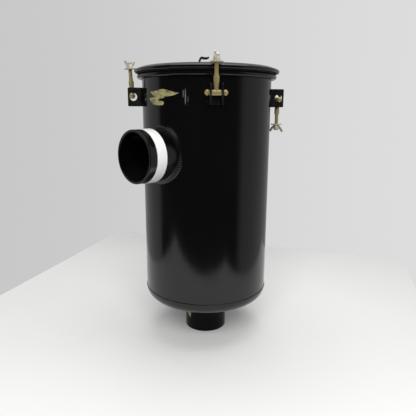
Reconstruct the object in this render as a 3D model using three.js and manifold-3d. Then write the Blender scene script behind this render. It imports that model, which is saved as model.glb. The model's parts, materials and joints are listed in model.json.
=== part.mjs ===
// Canister dust filter: a round steel can that stands on its outlet pipe, with a side inlet pipe,
// a lid held by four swing bolts with wing nuts, and a pleated filter element inside.
// Millimetres, +Z up. The can's axis is vertical, the inlet points along -Y and z = 0 is the
// open end of the outlet pipe.
import * as THREE from 'three';
import { mergeVertices } from 'three/addons/utils/BufferGeometryUtils.js';
import Module from 'manifold-3d';

const wasm = await Module();
wasm.setup();

// ---- Driving dimensions, millimetres -------------------------------------------------------

const sheet = 1.6; // steel sheet of the can, its bottom and the lid
const gap = 0.3; // left between pieces that touch

const can = { radius: 129.4, seamZ: 102, bottomZ: 78, cornerRadius: 22, topZ: 533.3 };
const bead = { radius: 139.5, z0: 532.3, z1: 541.3 }; // rolled flange round the can's mouth
const lid = { radius: 144.5, roll: 3.5, rollZ: 547, topZ: 554.4, crownRadius: 130.5 };
const panel = { radius: 122.6, z: 545.5 }; // the lid's sunken middle
const seal = { inner: 130.8, outer: 138, topZ: 549.5 }; // the lid's gasket
const seatZ = 552.2; // where the washers sit, on the lid's sloping rim
const outlet = { radius: 44.45, wall: 2.6, topZ: 92 };
const inlet = { radius: 49, wall: 2, lipRadius: 44.4, lipLength: 5, reach: 187, z: 390.7 };
const tape = { from: 150, to: 171.5, thickness: 0.9 }; // pale band round the inlet pipe
const station = { first: 320.5, step: 90 }; // swing bolts, degrees round the can
const bracket = { reach: 28.1, width: 23, sheet: 2.5, z0: 480, z1: 516 };
const ear = { holeRadius: 7.6, holeR: 147, holeZ: 498 };
const pin = { neck: 4, barrel: 5.2, ball: 5.2, halfLength: 20.5 };
const bolt = { radius: 3.85, length: 61.5, shoulder: 26.2 };
const washer = { radius: 11.75, bore: 4.3, thickness: 2 };
const nut = { height: 14, base: 6.8, top: 4.9, wingReach: 16, wingThickness: 2.4 };
const element = { radius: 85, core: 57, z0: 88.2, z1: 508, pleats: 36 };
const pleat = { depth: 21, thickness: 4 }; // both measured along the radius
const fingerLift = { width: 18, thickness: 3.6, height: 32 };

// Where each bolt sits: its lean from upright about the pin, in degrees, where its pin rests in
// the loose ear hole (out from the can and up from the hole's middle), how far its washer is
// down the rod from its seat, how far its wings are turned from the radial direction, and how
// much higher than the others its bracket stands.
const closedPin = { out: 2.4, rise: 2.3 };
const hangingPin = { out: 0.6, rise: -3 };
const swingBolts = [
  { name: 'front_right', lean: 0, rest: closedPin, washerDrop: 0, wingTurn: -24, lift: 2.5 },
  { name: 'rear_right', lean: 180, rest: hangingPin, washerDrop: 3.4, wingTurn: 50, lift: 0 },
  { name: 'rear_left', lean: 0, rest: closedPin, washerDrop: 0, wingTurn: 20, lift: 0 },
  { name: 'front_left', lean: 3, rest: closedPin, washerDrop: 1.4, wingTurn: 60, lift: 0 },
];

const canSides = 48;
const pipeSides = 32;
const rodSides = 12;

// The origin is under the middle of the object's box, and the inlet reaches further from the
// can's axis than the lid does.
const canAxisY = (inlet.reach - lid.radius) / 2;

// ---- Finishes -------------------------------------------------------------------------------

const finish = (color, roughness, metalness) =>
  new THREE.MeshStandardMaterial({ color, roughness, metalness });
const blackPaint = () => finish(0x0c0c0d, 0.25, 0.2);
const blackSteel = () => finish(0x15140f, 0.5, 0.3);
const whiteTape = () => finish(0xf4f3ef, 0.6, 0);
const goldZinc = () => finish(0xb79a5b, 0.35, 0.9);
const paleZinc = () => finish(0xcfccb8, 0.35, 0.9);
const blackRubber = () => finish(0x1b1b1b, 0.85, 0);
const filterPaper = () => finish(0xd9cfae, 0.9, 0);
const plainSteel = () => finish(0xa9abac, 0.4, 0.9);

// ---- Geometry helpers -----------------------------------------------------------------------

const radians = THREE.MathUtils.degToRad;

function asSolid(geometry) {
  const bare = geometry.clone();
  bare.deleteAttribute('normal');
  bare.deleteAttribute('uv');
  const merged = mergeVertices(bare, 1e-4);
  return new wasm.Manifold(new wasm.Mesh({
    numProp: 3,
    vertProperties: new Float32Array(merged.attributes.position.array),
    triVerts: new Uint32Array(merged.index.array),
  }));
}

function asGeometry(solid) {
  const mesh = solid.getMesh();
  const geometry = new THREE.BufferGeometry();
  geometry.setAttribute('position', new THREE.BufferAttribute(mesh.vertProperties, 3));
  geometry.setIndex(new THREE.BufferAttribute(mesh.triVerts, 1));
  geometry.computeVertexNormals();
  return geometry;
}

// A turned piece about Z. The [radius, z] outline runs out along the bottom, up the outside and
// back along the top or down the inside.
function turned(outline, sides) {
  const points = outline.map(([r, z]) => new THREE.Vector2(r, z));
  return new THREE.LatheGeometry(points, sides).rotateX(Math.PI / 2);
}

function ring(inner, outer, z0, z1, sides) {
  return turned([[inner, z0], [outer, z0], [outer, z1], [inner, z1], [inner, z0]], sides);
}

// Points of an arc in the [radius, z] plane, both ends included.
function arc(centreR, centreZ, radius, fromDegrees, toDegrees, steps) {
  return Array.from({ length: steps + 1 }, (_, i) => {
    const angle = radians(fromDegrees + ((toDegrees - fromDegrees) * i) / steps);
    return [centreR + radius * Math.cos(angle), centreZ + radius * Math.sin(angle)];
  });
}

// A flat outline in X and Z, as thick as `width` along Y and centred on it.
function plateXZ(outline, width) {
  const shape = new THREE.Shape(outline.map(([x, z]) => new THREE.Vector2(x, z)));
  const plate = new THREE.ExtrudeGeometry(shape, { depth: width, bevelEnabled: false });
  return plate.translate(0, 0, -width / 2).rotateX(Math.PI / 2);
}

// A flat outline in X and Y, standing from z0 to z1.
function prism(shape, z0, z1) {
  return new THREE.ExtrudeGeometry(shape, { depth: z1 - z0, bevelEnabled: false })
    .translate(0, 0, z0);
}

function addMesh(parent, name, geometry, material) {
  const mesh = new THREE.Mesh(geometry, material);
  mesh.name = name;
  parent.add(mesh);
  return mesh;
}

// ---- Can ------------------------------------------------------------------------------------

// A cylinder lying along the inlet's axis, from the can's axis outwards.
function inletCore(radius, sides = pipeSides) {
  return new THREE.CylinderGeometry(radius, radius, can.radius * 2, sides)
    .translate(0, -can.radius, 0)
    .translate(0, 0, inlet.z);
}

function canShell() {
  const inner = can.radius - sheet;
  const shell = ring(inner, can.radius, can.seamZ + gap, can.topZ, canSides);
  return asGeometry(asSolid(shell).subtract(asSolid(inletCore(inlet.radius + gap))));
}

function flangeBead() {
  const radius = (bead.z1 - bead.z0) / 2;
  const roll = arc(bead.radius - radius, bead.z0 + radius, radius, -90, 90, 5);
  const lip = [[can.radius - sheet, bead.z1], [can.radius - sheet, can.topZ + gap],
    [can.radius + gap, can.topZ + gap], [can.radius + gap, bead.z0]];
  return turned([...roll, ...lip, roll[0]], canSides);
}

function canBottom() {
  const { radius, cornerRadius: corner, seamZ, bottomZ } = can;
  const centreR = radius - corner;
  const centreZ = bottomZ + corner;
  const hole = outlet.radius + gap;
  const outside = arc(centreR, centreZ, corner, -90, 0, 5);
  const inside = arc(centreR, centreZ, corner - sheet, 0, -90, 5);
  return turned([[hole, bottomZ], ...outside, [radius, seamZ], [radius - sheet, seamZ],
    ...inside, [hole, bottomZ + sheet], [hole, bottomZ]], canSides);
}

function bottomSeamWeld() {
  const half = 1.4;
  return turned([[can.radius + gap, can.seamZ - half], [can.radius + 1.2, can.seamZ - 0.6],
    [can.radius + 1.2, can.seamZ + 0.6], [can.radius + gap, can.seamZ + half],
    [can.radius + gap, can.seamZ - half]], canSides);
}

function outletWeld() {
  const foot = outlet.radius + gap;
  const top = can.bottomZ - gap;
  return turned([[foot, top - 5], [foot + 2.5, top - 2.8], [foot + 5.5, top], [foot, top],
    [foot, top - 5]], pipeSides);
}

// The pipe's mouth has a lip rolled inwards, and its other end is cut to the can's inside.
function inletPipe() {
  const { radius, wall, lipRadius, lipLength, reach } = inlet;
  const bevel = 0.9;
  const start = 80;
  const outline = [[radius - wall, start], [radius, start], [radius, reach - bevel],
    [radius - bevel, reach], [lipRadius + bevel, reach], [lipRadius, reach - bevel],
    [lipRadius, reach - lipLength + bevel], [radius - wall, reach - lipLength - bevel],
    [radius - wall, start]];
  const pipe = turned(outline, pipeSides).rotateX(Math.PI / 2).translate(0, 0, inlet.z);
  const inside = turned([[0, 0], [can.radius - sheet, 0], [can.radius - sheet, can.topZ],
    [0, can.topZ]], canSides);
  return asGeometry(asSolid(pipe).subtract(asSolid(inside)));
}

function inletBand() {
  return ring(inlet.radius + gap, inlet.radius + gap + tape.thickness, tape.from, tape.to,
    pipeSides).rotateX(Math.PI / 2).translate(0, 0, inlet.z);
}

// A fillet of weld metal where the inlet meets the can: a ring bent to lie on the can's side.
function inletWeld() {
  const foot = inlet.radius + gap;
  const width = 7;
  const outline = [[foot, 0], [foot + width, 0], [foot + 0.4 * width, 0.4 * width],
    [foot, width], [foot, 0]];
  const weld = turned(outline, pipeSides).rotateX(Math.PI / 2);
  const position = weld.attributes.position;
  const standOff = can.radius + gap;
  for (let i = 0; i < position.count; i += 1) {
    const across = position.getX(i);
    position.setY(i, position.getY(i) - Math.sqrt(standOff ** 2 - across ** 2));
  }
  return weld.translate(0, 0, inlet.z);
}

// ---- Swing bolts and their brackets, in a frame whose +X points away from the can ------------

function bracketChannel() {
  const half = bracket.width / 2;
  const inner = half - bracket.sheet;
  const back = can.radius + gap;
  const front = can.radius + bracket.reach;
  const channel = new THREE.Shape([[back, -half], [front, -half], [front, -inner],
    [back + bracket.sheet, -inner], [back + bracket.sheet, inner], [front, inner],
    [front, half], [back, half]].map(([x, y]) => new THREE.Vector2(x, y)));
  const hole = new THREE.CylinderGeometry(ear.holeRadius, ear.holeRadius, 60, 20)
    .translate(ear.holeR, 0, ear.holeZ);
  return asGeometry(asSolid(prism(channel, bracket.z0, bracket.z1)).subtract(asSolid(hole)));
}

// The pin is at the frame's origin along Y, and the rod stands along +Z.
function swingBolt() {
  const { neck, barrel, ball, halfLength } = pin;
  const ballCentre = halfLength - ball;
  const half = bracket.width / 2 - bracket.sheet - 0.6;
  const endBall = arc(0, ballCentre, ball, 50, 90, 2).map(([r, z]) => [Math.max(r, 0), z]);
  const positive = [[barrel, half - 1], [neck, half], [neck, ballCentre - ball * 0.7],
    [ball, ballCentre], ...endBall.slice(0, -1), [0, halfLength]];
  const negative = positive.map(([r, z]) => [r, -z]).reverse();
  const bar = turned([...negative, ...positive], rodSides).rotateX(-Math.PI / 2);
  const rod = turned([[0, 0], [3.4, 0], [4.3, 9], [barrel, bolt.shoulder - 2],
    [barrel - 0.4, bolt.shoulder], [bolt.radius, bolt.shoulder + 1],
    [bolt.radius, bolt.length - 1], [bolt.radius - 1, bolt.length], [0, bolt.length]], rodSides);
  return asGeometry(asSolid(bar).add(asSolid(rod)));
}

// Washer and nut geometry start at z = 0 and are placed along the rod.
function plainWasher() {
  return ring(washer.bore, washer.radius, 0, washer.thickness, 20);
}

function wingNut() {
  const { height, base, top, wingReach: reach } = nut;
  const hub = turned([[0, 0], [base, 0], [base, 1.5], [top, height - 4], [0, height - 4]], rodSides);
  const wing = [[2, 1], [base, 1.2], [reach, height - 4.6], [reach - 0.3, height - 0.8],
    [reach - 2.6, height], [reach - 4.6, height - 1.2], [base + 0.4, 6.5], [2, 6.5]];
  const mirrored = wing.map(([x, z]) => [-x, z]).reverse();
  const bore = new THREE.CylinderGeometry(washer.bore, washer.bore, 60, rodSides);
  bore.rotateX(Math.PI / 2);
  return asGeometry(asSolid(hub)
    .add(asSolid(plateXZ(wing, nut.wingThickness)))
    .add(asSolid(plateXZ(mirrored, nut.wingThickness)))
    .subtract(asSolid(bore)));
}

// ---- Lid ------------------------------------------------------------------------------------

// A pan with a sunken middle, whose rim slopes down and out into a rolled edge.
function lidPan() {
  const { radius, roll, rollZ, topZ, crownRadius } = lid;
  const centreR = radius - roll;
  const under = arc(centreR, rollZ, roll - sheet, 70, -60, 4);
  const over = arc(centreR, rollZ, roll, -60, 70, 5);
  return turned([[0, panel.z - sheet], [panel.radius + 1, panel.z - sheet],
    [crownRadius - 2, topZ - sheet - 0.4], [crownRadius - 0.4, topZ - sheet - 0.1], ...under,
    ...over, [crownRadius, topZ], [crownRadius - 2.6, topZ - 0.4], [panel.radius, panel.z],
    [0, panel.z]], canSides);
}

function lidGasket() {
  return ring(seal.inner, seal.outer, bead.z1 + gap, seal.topZ, canSides);
}

// A bent strap to hook a finger under: a foot on the lid, a sloping leg and a level bar with
// an upturned tip.
function fingerLiftStrap() {
  const { width, thickness: t, height } = fingerLift;
  const z = panel.z + gap;
  const top = z + height;
  const outline = [[-36, z], [-20.5, z], [-11.5, top - 4.6], [-6, top - 5.6], [1.5, top - 5.4],
    [5.4, top - 1.6], [3, top], [0, top - 1.8], [-6, top - 2], [-14, top - 0.3],
    [-23.2, z + t], [-36, z + t]];
  const strap = asSolid(plateXZ(outline, width));
  const hole = new THREE.CylinderGeometry(2.6, 2.6, 40, rodSides).rotateX(Math.PI / 2)
    .translate(-28.5, 0, z);
  return asGeometry(strap.subtract(asSolid(hole)));
}

function fingerLiftScrew() {
  const z = panel.z + gap;
  const seat = z + fingerLift.thickness + gap;
  return turned([[0, z], [2.3, z], [2.3, seat], [4.6, seat], [4.6, seat + 1.2],
    [3.2, seat + 2.8], [0, seat + 3.2]], rodSides).translate(-28.5, 0, 0);
}

// ---- Filter element -------------------------------------------------------------------------

const cap = { thickness: 6, lip: 3 };
const mediaZ0 = element.z0 + cap.thickness + gap;
const mediaZ1 = element.z1 - cap.thickness - gap;

// Paper folded to and fro between the core tube and the caps' edge.
function pleatedMedia() {
  const folds = (inset) => Array.from({ length: element.pleats * 2 }, (_, i) => {
    const angle = (Math.PI * i) / element.pleats;
    const radius = element.radius - 1 - inset - (i % 2 ? pleat.depth : 0);
    return new THREE.Vector2(radius * Math.cos(angle), radius * Math.sin(angle));
  });
  const shape = new THREE.Shape(folds(0));
  shape.holes.push(new THREE.Path(folds(pleat.thickness).reverse()));
  return prism(shape, mediaZ0, mediaZ1);
}

// The core tube inside the pleats, with rows of windows that let the clean air through.
function elementCore() {
  let tube = asSolid(ring(element.core - 1.5, element.core, mediaZ0, mediaZ1, 18));
  const rows = 4;
  const columns = 3;
  const pitch = (mediaZ1 - mediaZ0) / rows;
  for (let row = 0; row < rows; row += 1) {
    for (let column = 0; column < columns; column += 1) {
      const window = new THREE.BoxGeometry(element.core * 3, 30, pitch * 0.6)
        .rotateZ((Math.PI * column) / columns)
        .translate(0, 0, mediaZ0 + pitch * (row + 0.5));
      tube = tube.subtract(asSolid(window));
    }
  }
  return asGeometry(tube);
}

function bottomCap() {
  return ring(element.core - 3, element.radius + 1, element.z0, mediaZ0 - gap, 36);
}

function topCap() {
  const z = mediaZ1 + gap;
  return turned([[0, z], [element.radius + 1, z], [element.radius + 1, z + cap.thickness - 1],
    [element.radius, z + cap.thickness], [0, z + cap.thickness]], 36);
}

function elementGasket() {
  return ring(element.core - 2, element.radius - 3, can.bottomZ + sheet + gap,
    element.z0 - gap, 36);
}

function pressurePad() {
  const z = element.z1 + gap;
  return turned([[0, z], [32, z], [30, panel.z - sheet - gap], [0, panel.z - sheet - gap]], 24);
}

// ---- Assembly -------------------------------------------------------------------------------

const filter = new THREE.Group();
const body = new THREE.Group();
body.position.y = canAxisY;
filter.add(body);

addMesh(body, 'can_shell', canShell(), blackPaint());
addMesh(body, 'flange_bead', flangeBead(), blackPaint());
addMesh(body, 'can_bottom', canBottom(), blackPaint());
addMesh(body, 'bottom_seam_weld', bottomSeamWeld(), blackPaint());
addMesh(body, 'outlet_pipe', ring(outlet.radius - outlet.wall, outlet.radius, 0, outlet.topZ,
  pipeSides), blackPaint());
addMesh(body, 'outlet_weld', outletWeld(), blackPaint());
addMesh(body, 'inlet_pipe', inletPipe(), blackPaint());
addMesh(body, 'inlet_weld', inletWeld(), blackPaint());
addMesh(body, 'inlet_band', inletBand(), whiteTape());

swingBolts.forEach(({ name, lean, rest, washerDrop, wingTurn, lift }, index) => {
  const side = new THREE.Group();
  side.rotation.z = radians(station.first + station.step * index);
  side.position.z = lift;
  body.add(side);
  addMesh(side, `${name}_bracket`, bracketChannel(), blackSteel());

  const swinging = new THREE.Group();
  swinging.position.set(ear.holeR + rest.out, 0, ear.holeZ + rest.rise);
  swinging.rotation.y = radians(lean);
  side.add(swinging);
  addMesh(swinging, `${name}_swing_bolt`, swingBolt(), goldZinc());
  const washerZ = seatZ - (ear.holeZ + closedPin.rise + lift) - washerDrop;
  addMesh(swinging, `${name}_washer`, plainWasher(), paleZinc()).position.z = washerZ;
  const wings = addMesh(swinging, `${name}_wing_nut`, wingNut(), paleZinc());
  wings.position.z = washerZ + washer.thickness + gap;
  wings.rotation.z = radians(wingTurn);
});

addMesh(body, 'lid', lidPan(), blackPaint());
addMesh(body, 'lid_gasket', lidGasket(), blackRubber());
const liftGroup = new THREE.Group();
liftGroup.rotation.z = radians(station.first - 270);
body.add(liftGroup);
addMesh(liftGroup, 'finger_lift', fingerLiftStrap(), blackPaint());
addMesh(liftGroup, 'finger_lift_screw', fingerLiftScrew(), blackPaint());

addMesh(body, 'element_gasket', elementGasket(), blackRubber());
addMesh(body, 'element_bottom_cap', bottomCap(), plainSteel());
addMesh(body, 'element_media', pleatedMedia(), filterPaper());
addMesh(body, 'element_core', elementCore(), plainSteel());
addMesh(body, 'element_top_cap', topCap(), plainSteel());
addMesh(body, 'element_pressure_pad', pressurePad(), blackRubber());

export default filter;
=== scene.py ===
"""Canister dust filter: the finished surfaces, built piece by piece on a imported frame."""
import json
import math
import random

import bmesh
import bpy
from bpy.props import FloatProperty, FloatVectorProperty, IntProperty, PointerProperty
from bpy.types import Operator, Panel, PropertyGroup
from mathutils import Matrix, Vector, noise
from mathutils.geometry import delaunay_2d_cdt


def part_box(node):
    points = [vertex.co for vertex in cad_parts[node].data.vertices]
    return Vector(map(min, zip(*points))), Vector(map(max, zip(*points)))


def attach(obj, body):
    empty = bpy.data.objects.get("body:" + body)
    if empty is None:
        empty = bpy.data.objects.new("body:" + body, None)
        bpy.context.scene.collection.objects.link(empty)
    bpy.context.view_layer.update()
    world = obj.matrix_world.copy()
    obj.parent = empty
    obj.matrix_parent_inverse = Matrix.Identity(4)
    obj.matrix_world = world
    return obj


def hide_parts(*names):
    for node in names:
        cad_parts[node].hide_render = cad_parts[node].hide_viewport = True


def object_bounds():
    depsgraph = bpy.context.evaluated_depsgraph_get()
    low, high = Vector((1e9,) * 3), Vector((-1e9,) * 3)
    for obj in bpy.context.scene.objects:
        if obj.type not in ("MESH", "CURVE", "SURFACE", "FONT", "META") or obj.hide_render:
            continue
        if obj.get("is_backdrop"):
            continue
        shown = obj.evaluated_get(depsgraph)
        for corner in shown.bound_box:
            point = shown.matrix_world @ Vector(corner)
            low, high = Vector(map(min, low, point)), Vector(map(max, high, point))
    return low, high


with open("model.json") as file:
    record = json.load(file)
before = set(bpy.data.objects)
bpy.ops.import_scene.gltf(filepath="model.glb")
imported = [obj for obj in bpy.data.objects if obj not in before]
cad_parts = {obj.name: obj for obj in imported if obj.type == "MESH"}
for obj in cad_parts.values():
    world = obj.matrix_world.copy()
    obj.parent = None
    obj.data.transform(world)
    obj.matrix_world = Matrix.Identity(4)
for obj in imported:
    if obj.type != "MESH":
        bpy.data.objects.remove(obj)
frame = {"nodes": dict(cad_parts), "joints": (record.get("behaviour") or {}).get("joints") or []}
CAD_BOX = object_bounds()

bl_info = {
    "name": "Canister dust filter",
    "version": (1, 0, 0),
    "blender": (4, 5, 0),
    "location": "View3D > Sidebar > Dust filter",
    "description": "Builds a steel canister dust filter with a swing-bolt lid",
    "category": "Add Mesh",
}

MM = 0.001
TURN = 2 * math.pi
STATIONS = ("front_right", "rear_right", "rear_left", "front_left")


# ---- Places and sizes that the frame gives ---------------------------------------------------

SHELL_LOW, SHELL_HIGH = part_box("can_shell")
BEAD_LOW, BEAD_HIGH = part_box("flange_bead")
BOTTOM_LOW, BOTTOM_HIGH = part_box("can_bottom")
_, LID_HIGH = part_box("lid")
OUTLET_LOW, OUTLET_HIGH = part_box("outlet_pipe")
INLET_LOW, INLET_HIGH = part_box("inlet_pipe")
BAND_LOW, BAND_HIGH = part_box("inlet_band")
GASKET_LOW, GASKET_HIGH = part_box("lid_gasket")

CAN_RADIUS = SHELL_HIGH.x
AXIS = Vector((0, (SHELL_LOW.y + SHELL_HIGH.y) / 2, 0))
ON_AXIS = Matrix.Translation(AXIS)
INLET_RADIUS = INLET_HIGH.x
INLET_Z = (INLET_LOW.z + INLET_HIGH.z) / 2
INLET_REACH = AXIS.y - INLET_LOW.y
OUTLET_RADIUS = OUTLET_HIGH.x
LID_PANEL_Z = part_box("finger_lift")[0].z - 0.3 * MM
JOINTS = {joint["name"]: joint for joint in frame["joints"]}


def station_frame(station):
    """A frame at a swing bolt's pin: Y along the pin, Z up the rod, at rest."""
    swing = JOINTS[f"{station}_swing"]
    rod = Vector(JOINTS[f"{station}_nut_travel"]["axis"]).normalized()
    place = Vector(swing["pos_m"])
    away = Vector((place.x - AXIS.x, place.y - AXIS.y, 0)).normalized()
    along_pin = Vector((0, 0, 1)).cross(away)
    across = along_pin.cross(rod)
    turn = Matrix((across, along_pin, rod)).transposed().to_4x4()
    return Matrix.Translation(place) @ turn


def bracket_frame(station):
    """A frame on the can's axis at z = 0: X away from the can through the bolt, Z up."""
    place = Vector(JOINTS[f"{station}_swing"]["pos_m"])
    azimuth = math.atan2(place.y - AXIS.y, place.x - AXIS.x)
    return ON_AXIS @ Matrix.Rotation(azimuth, 4, "Z")


def node_points(node, into):
    """The corners of a CAD node, in the given frame."""
    back = into.inverted()
    return [back @ vertex.co for vertex in frame["nodes"][node].data.vertices]


def node_radii(node, into=ON_AXIS):
    """The smallest and largest distance of a CAD node's corners from the frame's Z."""
    reaches = [math.hypot(p.x, p.y) for p in node_points(node, into)]
    return min(reaches), max(reaches)


def node_reach(node, into):
    """The low and high corner of a CAD node's box, in the given frame."""
    points = node_points(node, into)
    return (Vector(min(p[i] for p in points) for i in range(3)),
            Vector(max(p[i] for p in points) for i in range(3)))


# ---- Sizes, finishes and studio settings that a user may change -------------------------------

def length(name, description, default):
    return FloatProperty(name=name, description=description, default=default, min=0,
                         subtype="DISTANCE", unit="LENGTH")


def tint(name, description, default):
    return FloatVectorProperty(name=name, description=description, default=default,
                               subtype="COLOR", min=0, max=1, size=3)


def share(name, description, default):
    return FloatProperty(name=name, description=description, default=default, min=0, max=1,
                         subtype="FACTOR")


class DustcanSizes(PropertyGroup):
    """Sizes that the finished pieces add to the frame."""
    sheet: length("Sheet", "Thickness of the can's sheet steel", 1.6 * MM)
    inlet_wall: length("Inlet wall", "Wall of the inlet pipe", 2.0 * MM)
    lip: length("Inlet lip", "How far the inlet's lip is rolled inwards", 4.4 * MM)
    outlet_wall: length("Outlet wall", "Wall of the outlet pipe", 2.6 * MM)
    weld: length("Weld", "Leg of the pipes' fillet welds", 6.6 * MM)
    ripple: length("Weld ripple", "Distance between weld ripples", 3.9 * MM)
    ripple_height: length("Ripple height", "Height of the weld ripples", 0.45 * MM)
    strap: length("Bracket sheet", "Thickness of the bolt brackets", 2.5 * MM)
    rod: length("Rod", "Radius of the threaded rods", 3.95 * MM)
    thread_pitch: length("Thread pitch", "Distance between threads", 25.4 / 18 * MM)
    thread_depth: length("Thread depth", "Depth of the thread", 0.7 * MM)
    sides: IntProperty(name="Sides", description="Facets round a large turned piece",
                       default=256, min=24, max=1024)
    pleats: IntProperty(name="Pleats", description="Pleats round the filter element",
                        default=72, min=12, max=200)


class DustcanFinishes(PropertyGroup):
    """Colours and gloss of the finishes."""
    paint: tint("Paint", "Black gloss paint on the can", (0.0016, 0.0016, 0.0017))
    paint_roughness: share("Paint roughness", "Roughness of the clean paint", 0.13)
    bracket: tint("Bracket paint", "Thin black paint on the brackets", (0.006, 0.006, 0.0055))
    band: tint("Band", "Pale band round the inlet", (0.86, 0.86, 0.84))
    gold: tint("Yellow zinc", "Yellow passivated zinc on the bolts", (0.58, 0.46, 0.21))
    pale: tint("Pale zinc", "Pale zinc on nuts and washers", (0.80, 0.77, 0.62))
    rubber: tint("Rubber", "Gaskets and pad", (0.012, 0.012, 0.012))
    paper: tint("Filter paper", "Pleated paper", (0.66, 0.56, 0.36))
    galvanised: tint("Galvanised", "Caps and core of the element", (0.56, 0.57, 0.58))
    label: tint("Label", "Torn paper left on the can", (0.40, 0.38, 0.16))


class DustcanStudio(PropertyGroup):
    """Camera and light."""
    azimuth: FloatProperty(name="Azimuth", description="Camera's side, from the inlet's",
                           default=math.radians(44.2), subtype="ANGLE", unit="ROTATION")
    distance: length("Distance", "Camera to the can's axis", 0.904)
    height: length("Height", "Camera above the floor", 0.4757)
    pitch: FloatProperty(name="Pitch", description="Camera's downward tilt",
                         default=math.radians(12.97), subtype="ANGLE", unit="ROTATION")
    yaw: FloatProperty(name="Yaw", description="Camera's turn to the right of the can's axis",
                       default=math.radians(0.265), subtype="ANGLE", unit="ROTATION")
    roll: FloatProperty(name="Roll", description="Camera's roll", default=math.radians(0.36),
                        subtype="ANGLE", unit="ROTATION")
    lens: FloatProperty(name="Lens", description="Focal length in millimetres", default=37.2,
                        min=1)
    wall: share("Wall", "Brightness of the pale walls as they light the can", 0.42)
    backdrop: share("Backdrop", "Brightness of the pale walls as they are seen", 0.64)
    room: share("Room", "Brightness of the dark room behind the camera", 0.045)
    floor: tint("Floor", "Pale table top", (0.80, 0.80, 0.79))
    overhead: FloatProperty(name="Overhead", description="Power of the overhead soft light",
                            default=17, min=0, subtype="POWER", unit="POWER")
    fill: FloatProperty(name="Fill", description="Power of the soft light over the camera",
                        default=44, min=0, subtype="POWER", unit="POWER")


# ---- Outlines --------------------------------------------------------------------------------

def arc(centre, radius, start, end, steps):
    """Points of an arc in a plane, angles in degrees, both ends included."""
    angles = [math.radians(start + (end - start) * i / steps) for i in range(steps + 1)]
    return [(centre[0] + radius * math.cos(a), centre[1] + radius * math.sin(a)) for a in angles]


def filleted(points, radius, steps=5, closed=False):
    """The line through points with its corners rounded off by arcs of the given radius."""
    corners = [Vector(point) for point in points]
    count = len(corners)
    made = []
    for i, corner in enumerate(corners):
        if not closed and i in (0, count - 1):
            made.append(corner)
            continue
        before = (corners[i - 1] - corner)
        after = (corners[(i + 1) % count] - corner)
        half_angle = before.angle(after) / 2
        if half_angle > math.radians(88):
            made.append(corner)
            continue
        reach = radius / math.tan(half_angle)
        reach = min(reach, 0.48 * before.length, 0.48 * after.length)
        true_radius = reach * math.tan(half_angle)
        centre = corner + (before.normalized() + after.normalized()).normalized() * (
            true_radius / math.sin(half_angle))
        first = corner + before.normalized() * reach - centre
        sweep = first.angle_signed(corner + after.normalized() * reach - centre)
        for step in range(steps + 1):
            turn = Matrix.Rotation(-sweep * step / steps, 2)
            made.append(centre + turn @ first)
    return [tuple(point) for point in made]


def sheet_loop(path, thickness):
    """A closed outline of a sheet of the given thickness bent along an open path."""
    points = [Vector(point) for point in path]
    left, right = [], []
    for i, point in enumerate(points):
        before = points[max(i - 1, 0)]
        after = points[min(i + 1, len(points) - 1)]
        along = (after - before).normalized()
        normal = Vector((-along.y, along.x))
        own = (after - point) if i < len(points) - 1 else (point - before)
        bend = max(abs(normal.dot(Vector((-own.y, own.x)).normalized())), 0.5)
        left.append(tuple(point + normal * thickness / 2 / bend))
        right.append(tuple(point - normal * thickness / 2 / bend))
    return left + right[::-1]


# ---- Meshes ----------------------------------------------------------------------------------

class Skin:
    """Vertices and faces of one closed body, gathered before they become a mesh."""

    def __init__(self):
        self.points = []
        self.faces = []

    def add(self, other, place=Matrix.Identity(4)):
        shift = len(self.points)
        self.points += [place @ Vector(point) for point in other.points]
        self.faces += [tuple(i + shift for i in face) for face in other.faces]
        return self

    def moved(self, place):
        return Skin().add(self, place)

    def on_axis(self):
        return self.moved(ON_AXIS)

    def close_ends(self, sides, ends):
        """Closes rings of points to tips: ends holds (index of the ring, tip)."""
        for ring, tip in ends:
            pole = len(self.points)
            self.points.append(Vector(tip))
            self.faces += [(ring * sides + j, ring * sides + (j + 1) % sides, pole)
                           for j in range(sides)]
        return self


def grid(rows, columns, point, wrap_rows=True, wrap_columns=True):
    """A surface of rows by columns points, closed on itself where it wraps."""
    skin = Skin()
    skin.points = [point(i, j) for i in range(rows) for j in range(columns)]
    for i in range(rows if wrap_rows else rows - 1):
        for j in range(columns if wrap_columns else columns - 1):
            k, m = (i + 1) % rows, (j + 1) % columns
            skin.faces.append((i * columns + j, i * columns + m, k * columns + m, k * columns + j))
    return skin


def turned(outline, sides, ends_on_axis=False):
    """An outline of (radius, height) turned about Z. An open outline starts and ends on Z."""
    ring = outline[1:-1] if ends_on_axis else outline

    def point(i, j):
        radius, height = ring[j]
        angle = TURN * i / sides
        return Vector((radius * math.cos(angle), radius * math.sin(angle), height))

    skin = grid(sides, len(ring), point, wrap_columns=not ends_on_axis)
    if ends_on_axis:
        for j, (_, height) in ((0, outline[0]), (len(ring) - 1, outline[-1])):
            pole = len(skin.points)
            skin.points.append(Vector((0, 0, height)))
            for i in range(sides):
                skin.faces.append((i * len(ring) + j, ((i + 1) % sides) * len(ring) + j, pole))
    return skin


def prism(outline, low, high):
    """A flat (x, y) outline standing from low to high."""
    skin = Skin()
    count = len(outline)
    for height in (low, high):
        skin.points += [Vector((x, y, height)) for x, y in outline]
    skin.faces = [tuple(range(count)), tuple(range(count, 2 * count))]
    skin.faces += [(i, (i + 1) % count, count + (i + 1) % count, count + i) for i in range(count)]
    return skin


def plate(outline, width):
    """A flat (x, z) outline, as thick as width along Y and centred on it."""
    return prism(outline, -width / 2, width / 2).moved(Matrix.Rotation(math.pi / 2, 4, "X"))


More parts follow.
